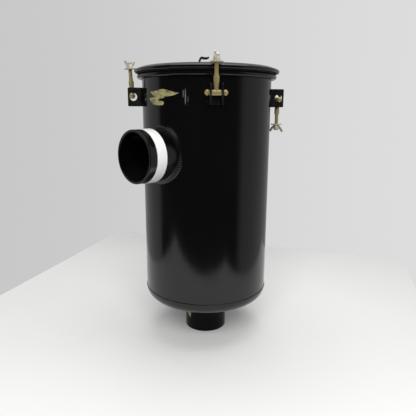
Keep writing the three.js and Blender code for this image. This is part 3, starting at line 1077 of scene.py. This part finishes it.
def lift_frame():
    """A frame on the lid's middle: X from the lift's foot to its tip."""
    screw_low, screw_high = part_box("finger_lift_screw")
    foot = (screw_low + screw_high) / 2 - AXIS
    away = math.atan2(-foot.y, -foot.x)
    reach = math.hypot(foot.x, foot.y)
    return ON_AXIS @ Matrix.Rotation(away, 4, "Z"), reach


def build_finger_lift(_sizes):
    """A strap bent up from its foot to a level bar with an upturned tip."""
    place, screw_reach = lift_frame()
    low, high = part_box("finger_lift")
    near, far = node_reach("finger_lift", place)
    width = 2 * far.y
    foot = near.x
    thick = 3.4 * MM
    z = low.z + thick / 2
    top = high.z - thick / 2
    path = filleted([(foot, z), (-21.6 * MM, z), (-12.6 * MM, top - 0.6 * MM),
                     (-6 * MM, top - 2.2 * MM), (0.6 * MM, top - 2 * MM),
                     (3.4 * MM, top - 0.4 * MM)], 3.0 * MM, 8)
    strap = as_object("strap", plate(sheet_loop(path, thick), width))
    shaped(strap, "BEVEL", width=0.7 * MM, segments=3, limit_method="ANGLE",
           angle_limit=math.radians(50))
    hole = turned([(0, z - 9 * MM), (2.6 * MM, z - 9 * MM), (2.6 * MM, z + 9 * MM),
                   (0, z + 9 * MM)], 32, ends_on_axis=True)
    cut(strap, hole.moved(Matrix.Translation((-screw_reach, 0, 0))))
    strap.data.transform(place)
    strap.name = "finger_strap"
    finish_piece(strap, material("gloss"), "black_paint", "lid", "finger_lift")


def build_lift_screw(_sizes):
    place, reach = lift_frame()
    low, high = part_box("finger_lift_screw")
    seat = high.z - 3.2 * MM
    outline = [(0, low.z), (2.3 * MM, low.z), (2.3 * MM, seat)]
    outline += filleted([(3.9 * MM, seat), (4.6 * MM, seat), (4.6 * MM, seat + 1.1 * MM),
                         (3.3 * MM, seat + 2.7 * MM), (1.4 * MM, high.z)], 0.9 * MM, 5)
    outline += [(0, high.z)]
    screw = as_object("screw", turned(outline, 48, ends_on_axis=True))
    slot = prism([(-6 * MM, -0.6 * MM), (6 * MM, -0.6 * MM), (6 * MM, 0.6 * MM),
                  (-6 * MM, 0.6 * MM)], high.z - 1.3 * MM, high.z + 2 * MM)
    cut(screw, slot.moved(Matrix.Rotation(0.5, 4, "Z")))
    screw.data.transform(place @ Matrix.Translation((-reach, 0, 0)))
    screw.name = "strap_screw"
    finish_piece(screw, material("gloss"), "black_paint", "lid", "finger_lift_screw", sharp=40)


# ---- Filter element --------------------------------------------------------------------------

def build_pleats(sizes):
    """Paper folded to and fro between the core and the caps' edge, with rounded folds."""
    low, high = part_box("element_media")
    outer = high.x - 0.6 * MM
    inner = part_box("element_core")[1].x + 1.6 * MM
    middle, swing = (outer + inner) / 2, (outer - inner) / 2
    per_pleat = 10
    count = sizes.pleats * per_pleat
    paper = 0.35 * MM

    def wall(offset):
        made = []
        for i in range(count):
            angle = TURN * i / count
            wave = math.cos(sizes.pleats * angle)
            fold = math.copysign(abs(wave) ** 0.8, wave)
            wander = 0.9 * MM * noise.noise(Vector((math.cos(angle) * 20, math.sin(angle) * 20, 0)))
            radius = middle + swing * fold
            made.append(Vector(((radius + wander * (1 - abs(fold))) * math.cos(angle),
                                radius * math.sin(angle))))
        shifted = []
        for i, point in enumerate(made):
            along = (made[(i + 1) % count] - made[i - 1]).normalized()
            shifted.append(point + Vector((along.y, -along.x)) * offset)
        return shifted

    rings = [(wall(paper), low.z), (wall(paper), high.z), (wall(-paper), high.z),
             (wall(-paper), low.z)]

    def point(i, j):
        flat = rings[j][0][i]
        return AXIS + Vector((flat.x, flat.y, rings[j][1]))

    media = as_object("pleated_paper", grid(count, 4, point))
    finish_piece(media, material("paper"), "filter_paper", "element", "element_media", sharp=50)


def build_element_caps(_sizes):
    low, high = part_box("element_bottom_cap")
    bore, _ = node_radii("element_bottom_cap")
    bottom = turned(filleted([(bore, low.z), (high.x, low.z), (high.x, high.z),
                              (bore, high.z)], 1.5 * MM, 5, closed=True), 160)
    cap = as_object("lower_cap", bottom.on_axis())
    finish_piece(cap, material("galvanised"), "plain_steel", "element", "element_bottom_cap")
    low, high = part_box("element_top_cap")
    dip = 1.2 * MM
    path = filleted([(high.x, low.z), (high.x, high.z), (high.x - 7 * MM, high.z),
                     (high.x - 10 * MM, high.z - dip), (34 * MM, high.z - dip),
                     (32 * MM, high.z - 0.3 * MM)], 1.3 * MM, 5)
    top = turned([(0, low.z)] + path + [(0, high.z - 0.3 * MM)], 160, ends_on_axis=True)
    cap = as_object("upper_cap", top.on_axis())
    finish_piece(cap, material("galvanised"), "plain_steel", "element", "element_top_cap")


def build_element_rubbers(_sizes):
    low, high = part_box("element_gasket")
    bore, _ = node_radii("element_gasket")
    ring = turned(filleted([(bore, low.z), (high.x, low.z), (high.x, high.z), (bore, high.z)],
                           2 * MM, 6, closed=True), 160)
    gasket = as_object("element_seal", ring.on_axis())
    finish_piece(gasket, material("rubber"), "black_rubber", "element", "element_gasket")
    low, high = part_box("element_pressure_pad")
    wide = high.x
    outline = filleted([(0, low.z), (wide, low.z), (wide - 0.6 * MM, low.z + 8 * MM),
                        (wide - 3.4 * MM, (low.z + high.z) / 2), (wide - 2.6 * MM, high.z - 6 * MM),
                        (wide - 2 * MM, high.z), (0, high.z)], 2 * MM, 6)
    pad = as_object("hold_down_pad", turned(outline, 96, ends_on_axis=True).on_axis())
    finish_piece(pad, material("rubber"), "black_rubber", "element", "element_pressure_pad")


def finish_core():
    """The core tube keeps its CAD shape and takes its finish."""
    core = frame["nodes"]["element_core"]
    core.data.materials.clear()
    core.data.materials.append(material("galvanised"))


# ---- Remains of the label --------------------------------------------------------------------

# The torn patch: distance round the can and height, from the patch's middle.
PATCH = ((-33, 15), (-20, 15), (-4, 18), (4, 19), (14, 17), (24, 14.5), (39, 11), (28, 7.5),
         (16, 5.5), (4, 3), (-6, 1.5), (-9, -1.5), (6, -2), (7.5, -6), (4, -9.5), (-8, -9.5),
         (-24, -8), (-32, -4), (-36, 3), (-26, 4.5), (-17, 6), (-28, 10.5))
PATCH_BEARING = -85.5
PATCH_HEIGHT = 491.5 * MM


def torn_edge(outline, step, rough, seed):
    """The outline cut into short lengths and pulled about, as torn paper is."""
    chance = random.Random(seed)
    corners = [Vector(point) for point in outline]
    made = []
    for i, corner in enumerate(corners):
        after = corners[(i + 1) % len(corners)]
        pieces = max(1, round((after - corner).length / step))
        for k in range(pieces):
            pull = Vector((chance.uniform(-rough, rough), chance.uniform(-rough, rough)))
            made.append(corner.lerp(after, k / pieces) + pull)
    return made


def paper_scrap(outline, radius, thickness, curl, place):
    """A thin sheet of paper lying on a round wall. place(along, up, radius) puts a point."""
    low = Vector((min(p.x for p in outline), min(p.y for p in outline)))
    high = Vector((max(p.x for p in outline), max(p.y for p in outline)))
    step = 2 * MM
    points = list(outline)
    for i in range(1, int((high.x - low.x) / step)):
        for j in range(1, int((high.y - low.y) / step)):
            points.append(low + Vector((i * step, j * step)))
    border = [(i, (i + 1) % len(outline)) for i in range(len(outline))]
    flat, _, triangles, _, _, _ = delaunay_2d_cdt(points, border, [list(range(len(outline)))], 1,
                                                  1e-7)
    count = len(flat)
    skin = Skin()
    for lift in (0, thickness):
        for p in flat:
            ruffle = curl * max(0, noise.noise(Vector((p.x * 120, p.y * 120, 3))))
            skin.points.append(place(p.x, p.y, radius + ruffle + lift))
    edges = {}
    for triangle in triangles:
        skin.faces.append(tuple(triangle))
        skin.faces.append(tuple(i + count for i in reversed(triangle)))
        for a, b in zip(triangle, list(triangle[1:]) + [triangle[0]]):
            key = (min(a, b), max(a, b))
            edges[key] = edges.get(key, 0) + 1
    skin.faces += [(a, b, b + count, a + count) for (a, b), used in edges.items() if used == 1]
    return skin


def build_label_remains(_sizes):
    def on_can(along, up, radius):
        angle = math.radians(PATCH_BEARING) + along / CAN_RADIUS
        return AXIS + Vector((radius * math.cos(angle), radius * math.sin(angle),
                              PATCH_HEIGHT + up))

    outline = torn_edge([(x * MM, y * MM) for x, y in PATCH], 2.2 * MM, 0.55 * MM, 7)
    patch = as_object("torn_label", paper_scrap(outline, CAN_RADIUS + 0.06 * MM, 0.14 * MM,
                                                0.35 * MM, on_can))
    finish_piece(patch, material("label"), None, "can", sharp=60)

    def on_outlet(along, up, radius):
        angle = math.radians(-100) + along / OUTLET_RADIUS
        return AXIS + Vector((radius * math.cos(angle), radius * math.sin(angle),
                              BOTTOM_LOW.z + up))

    corner = [(-13, -36), (6, -36), (6.5, -44), (4, -52), (-3, -46), (-11, -41)]
    outline = torn_edge([(x * MM, y * MM) for x, y in corner], 2 * MM, 0.4 * MM, 3)
    scrap = as_object("outlet_label_scrap", paper_scrap(
        outline, OUTLET_RADIUS + 0.06 * MM, 0.14 * MM, 0.3 * MM, on_outlet))
    finish_piece(scrap, material("label"), None, "can", sharp=60)


# ---- Stage -----------------------------------------------------------------------------------

def ground_directions(studio):
    """Level directions to the right of the stage and ahead, into it."""
    side = Vector((math.cos(studio.azimuth), math.sin(studio.azimuth), 0))
    ahead = Vector((-math.sin(studio.azimuth), math.cos(studio.azimuth), 0))
    return side, ahead


def camera_directions(studio):
    """Right, up and forward of the camera."""
    side, ahead = ground_directions(studio)
    level = ahead * math.cos(studio.yaw) + side * math.sin(studio.yaw)
    forward = level * math.cos(studio.pitch) - Vector((0, 0, 1)) * math.sin(studio.pitch)
    right = side * math.cos(studio.yaw) - ahead * math.sin(studio.yaw)
    up = right.cross(forward)
    rolled_right = right * math.cos(studio.roll) + up * math.sin(studio.roll)
    rolled_up = up * math.cos(studio.roll) - right * math.sin(studio.roll)
    return rolled_right, rolled_up, forward


def build_camera(studio):
    right, up, forward = camera_directions(studio)
    _, ahead = ground_directions(studio)
    data = bpy.data.cameras.new("camera")
    data.lens = studio.lens
    data.sensor_width = 36
    camera = bpy.data.objects.new("camera", data)
    bpy.context.scene.collection.objects.link(camera)
    turn = Matrix((right, up, -forward)).transposed().to_4x4()
    place = AXIS - ahead * studio.distance + Vector((0, 0, studio.height))
    camera.matrix_world = Matrix.Translation(place) @ turn
    bpy.context.scene.camera = camera


def build_table(studio):
    """A pale table top. Its edges are given across and ahead of the can, as the camera sees."""
    side, ahead = ground_directions(studio)
    corners = ((-0.742, -0.54), (-0.344, 0.752), (0.643, 0.4125), (0.35, -0.54))
    rounded = filleted(corners, 0.04, 8, closed=True)
    flat = [AXIS + side * across + ahead * along for across, along in rounded]
    table = as_object("table_top", prism([(p.x, p.y) for p in flat], -0.03, 0))
    surface = Finish("Pale table top")
    colour = tuple(studio.floor)
    tone = surface.ramp(surface.cloud(5, 3), 0.3, 0.7)
    surface.set(colour=surface.mix(tone, colour, tinted(colour, 0.985)),
                roughness=surface.ramp(surface.cloud(40, 3), 0.3, 0.7, 0.5, 0.6))
    table.data.materials.append(surface.material)
    smooth(table, 30)
    table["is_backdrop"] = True


def build_world(studio):
    """Pale walls round the stage and a dim room on the camera's side."""
    side, ahead = ground_directions(studio)
    world = bpy.data.worlds.new("soft_studio")
    world.use_nodes = True
    bpy.context.scene.world = world
    tree = world.node_tree
    tree.nodes.clear()

    def node(kind, inputs=None, **settings):
        made = tree.nodes.new(kind)
        for key, value in settings.items():
            setattr(made, key, value)
        for key, value in (inputs or {}).items():
            if isinstance(value, bpy.types.NodeSocket):
                tree.links.new(value, made.inputs[key])
            else:
                made.inputs[key].default_value = value
        return made

    direction = node("ShaderNodeTexCoord").outputs["Generated"]

    def along(axis):
        return node("ShaderNodeVectorMath", {0: direction, 1: axis},
                    operation="DOT_PRODUCT").outputs["Value"]

    bearing = node("ShaderNodeMath", {0: along(side), 1: along(-ahead)},
                   operation="ARCTAN2").outputs["Value"]

    def step(value, low, high, first, second):
        return node("ShaderNodeMapRange", {
            "Value": value, "From Min": low, "From Max": high, "To Min": first,
            "To Max": second}, interpolation_type="SMOOTHSTEP").outputs["Result"]

    left = step(bearing, math.radians(-96), math.radians(-84), 1, 0)
    right = step(bearing, math.radians(50), math.radians(72), 0, 0.8)
    walls = node("ShaderNodeMath", {0: left, 1: right}, operation="MAXIMUM").outputs["Value"]
    raised = step(along(Vector((0, 0, 1))), 0.8, 0.97, 0, 1)
    bright = node("ShaderNodeMath", {0: walls, 1: raised}, operation="MAXIMUM").outputs["Value"]
    glow = step(bright, 0, 1, studio.room, studio.wall)
    seen = node("ShaderNodeLightPath").outputs["Is Camera Ray"]
    far_wall = step(along(side), -0.5, 0.5, studio.backdrop * 0.9, studio.backdrop * 1.13)
    strength = node("ShaderNodeMix", {"Factor": seen, "A": glow, "B": far_wall},
                    data_type="FLOAT").outputs["Result"]
    shade = node("ShaderNodeBackground", {"Color": (1.0, 1.0, 1.01, 1), "Strength": strength})
    out = node("ShaderNodeOutputWorld")
    tree.links.new(shade.outputs["Background"], out.inputs["Surface"])


def build_lights(studio):
    """A large soft light overhead, and a dim one over the camera that leaves no reflection."""
    side, ahead = ground_directions(studio)
    places = (("overhead", studio.overhead, ahead * 0.15 + side * 0.15 + Vector((0, 0, 1.9))),
              ("fill", studio.fill, -ahead * 1.7 + Vector((0, 0, 1.3))))
    for name, power, place in places:
        data = bpy.data.lights.new(name, "AREA")
        data.shape = "RECTANGLE"
        data.size = 1.6
        data.size_y = 1.2
        data.energy = power
        lamp = bpy.data.objects.new(name, data)
        bpy.context.scene.collection.objects.link(lamp)
        aim = (Vector((0, 0, 0.2)) - place).to_track_quat("-Z", "Y")
        lamp.matrix_world = Matrix.Translation(AXIS + place) @ aim.to_matrix().to_4x4()
        lamp.visible_glossy = name != "fill"


# ---- Operators -------------------------------------------------------------------------------

class Build:
    """What the build operators share: they run their piece functions with the sizes."""
    bl_options = {"REGISTER", "UNDO"}

    def execute(self, context):
        self.build(context.scene.dustcan_sizes)
        return {"FINISHED"}


class DUSTCAN_OT_can(Build, Operator):
    """Builds the can's wall, rolled flange, dished bottom and seam weld"""
    bl_idname = "dustcan.can"
    bl_label = "Can"

    def build(self, sizes):
        build_can_shell(sizes)
        build_flange(sizes)
        build_can_bottom(sizes)
        build_seam_weld(sizes)


class DUSTCAN_OT_pipes(Build, Operator):
    """Builds the inlet and outlet pipes and their welds"""
    bl_idname = "dustcan.pipes"
    bl_label = "Pipes"

    def build(self, sizes):
        build_outlet_pipe(sizes)
        build_outlet_weld(sizes)
        build_inlet_pipe(sizes)
        build_inlet_weld(sizes)


class DUSTCAN_OT_band(Build, Operator):
    """Wraps the pale band round the inlet pipe"""
    bl_idname = "dustcan.band"
    bl_label = "Inlet band"

    def build(self, sizes):
        build_band(sizes)


class DUSTCAN_OT_brackets(Build, Operator):
    """Builds the four bolt brackets and their welds"""
    bl_idname = "dustcan.brackets"
    bl_label = "Brackets"

    def build(self, sizes):
        for station in STATIONS:
            build_bracket(station, sizes)


class DUSTCAN_OT_bolts(Build, Operator):
    """Builds the four swing bolts"""
    bl_idname = "dustcan.bolts"
    bl_label = "Swing bolts"

    def build(self, sizes):
        for station in STATIONS:
            build_swing_bolt(station, sizes)


class DUSTCAN_OT_washers(Build, Operator):
    """Builds the four washers"""
    bl_idname = "dustcan.washers"
    bl_label = "Washers"

    def build(self, sizes):
        for station in STATIONS:
            build_washer(station, sizes)


class DUSTCAN_OT_wing_nuts(Build, Operator):
    """Builds the four wing nuts"""
    bl_idname = "dustcan.wing_nuts"
    bl_label = "Wing nuts"

    def build(self, sizes):
        for station in STATIONS:
            build_wing_nut(station, sizes)


class DUSTCAN_OT_lid(Build, Operator):
    """Builds the lid pan and its gasket"""
    bl_idname = "dustcan.lid"
    bl_label = "Lid"

    def build(self, sizes):
        build_lid_pan(sizes)
        build_lid_gasket(sizes)


class DUSTCAN_OT_finger_lift(Build, Operator):
    """Builds the lid's finger lift and its screw"""
    bl_idname = "dustcan.finger_lift"
    bl_label = "Finger lift"

    def build(self, sizes):
        build_finger_lift(sizes)
        build_lift_screw(sizes)


class DUSTCAN_OT_element(Build, Operator):
    """Builds the filter element"""
    bl_idname = "dustcan.element"
    bl_label = "Filter element"

    def build(self, sizes):
        build_pleats(sizes)
        build_element_caps(sizes)
        build_element_rubbers(sizes)
        finish_core()


class DUSTCAN_OT_label(Build, Operator):
    """Sticks the torn remains of the label on the can and outlet"""
    bl_idname = "dustcan.label"
    bl_label = "Label remains"

    def build(self, sizes):
        build_label_remains(sizes)


class DUSTCAN_OT_stage(Operator):
    """Sets up the table top, walls, light and camera"""
    bl_idname = "dustcan.stage"
    bl_label = "Stage"
    bl_options = {"REGISTER", "UNDO"}

    def execute(self, context):
        studio = context.scene.dustcan_studio
        context.scene.view_settings.view_transform = "Standard"
        build_camera(studio)
        build_table(studio)
        build_world(studio)
        build_lights(studio)
        return {"FINISHED"}


OPERATORS = (DUSTCAN_OT_can, DUSTCAN_OT_pipes, DUSTCAN_OT_band, DUSTCAN_OT_brackets,
             DUSTCAN_OT_bolts, DUSTCAN_OT_washers, DUSTCAN_OT_wing_nuts, DUSTCAN_OT_lid,
             DUSTCAN_OT_finger_lift, DUSTCAN_OT_element, DUSTCAN_OT_label, DUSTCAN_OT_stage)


class DUSTCAN_PT_panel(Panel):
    """Lists the build steps in order"""
    bl_idname = "DUSTCAN_PT_panel"
    bl_label = "Dust filter"
    bl_space_type = "VIEW_3D"
    bl_region_type = "UI"
    bl_category = "Dust filter"

    def draw(self, context):
        for operator in OPERATORS:
            self.layout.operator(operator.bl_idname)


CLASSES = (DustcanSizes, DustcanFinishes, DustcanStudio, *OPERATORS, DUSTCAN_PT_panel)


def register():
    for cls in CLASSES:
        bpy.utils.register_class(cls)
    bpy.types.Scene.dustcan_sizes = PointerProperty(type=DustcanSizes)
    bpy.types.Scene.dustcan_finishes = PointerProperty(type=DustcanFinishes)
    bpy.types.Scene.dustcan_studio = PointerProperty(type=DustcanStudio)


def unregister():
    del bpy.types.Scene.dustcan_studio
    del bpy.types.Scene.dustcan_finishes
    del bpy.types.Scene.dustcan_sizes
    for cls in reversed(CLASSES):
        bpy.utils.unregister_class(cls)


def main():
    register()
    for operator in OPERATORS:
        getattr(bpy.ops.dustcan, operator.bl_idname.split(".")[1])()
    boxes = {"cad": CAD_BOX, "visual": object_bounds()}
    {key: [list(corner) for corner in box] for key, box in boxes.items()}


if __name__ == "__main__":
    main()
